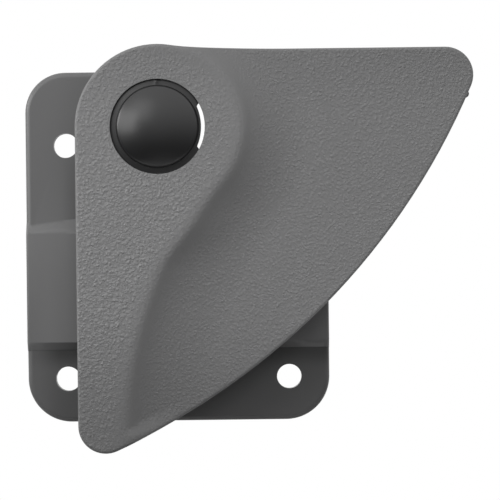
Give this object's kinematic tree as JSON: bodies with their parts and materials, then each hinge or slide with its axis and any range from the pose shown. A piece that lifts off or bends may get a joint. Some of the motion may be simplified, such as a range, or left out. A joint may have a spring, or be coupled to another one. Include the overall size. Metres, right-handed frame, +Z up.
{
  "type": "portable toilet latch",
  "caption": "Quarter-turn door latch: a moulded handle with a long grip and a flat fin turns on a riveted base plate, under a black domed cap.",
  "frame": {"origin": "centre of the four rivet holes, on the plate's back face, which lies on the door", "axes": "+X to the right and +Z up the door, as the user sees it; +Y into the door, so that the handle faces -Y"},
  "size_m": [0.1147, 0.0314, 0.1021],
  "materials": {
    "plate_plastic": "smooth satin moulded plastic, dark grey",
    "handle_plastic": "pebble-grained moulded plastic, mid grey",
    "cap_plastic": "satin black moulded plastic",
    "bearing_plastic": "natural acetal, off-white",
    "steel": "stainless steel, as pressed"
  },
  "bodies": {
    "base": {"base_plate": "plate_plastic", "pivot_bushing": "bearing_plastic", "thrust_washer": "steel"},
    "turning_handle": {"handle": "handle_plastic", "retaining_ring": "steel", "spring_washer": "steel", "screw_washer": "steel", "spindle_screw": "steel", "hub_cap": "cap_plastic"}
  },
  "joints": [
    {"name": "handle_turn", "type": "hinge", "parent": "base", "child": "turning_handle", "pos_m": [-0.00375, -0.01, 0.0334], "axis": [0, 1, 0], "range_deg": [0, 90]}
  ]
}
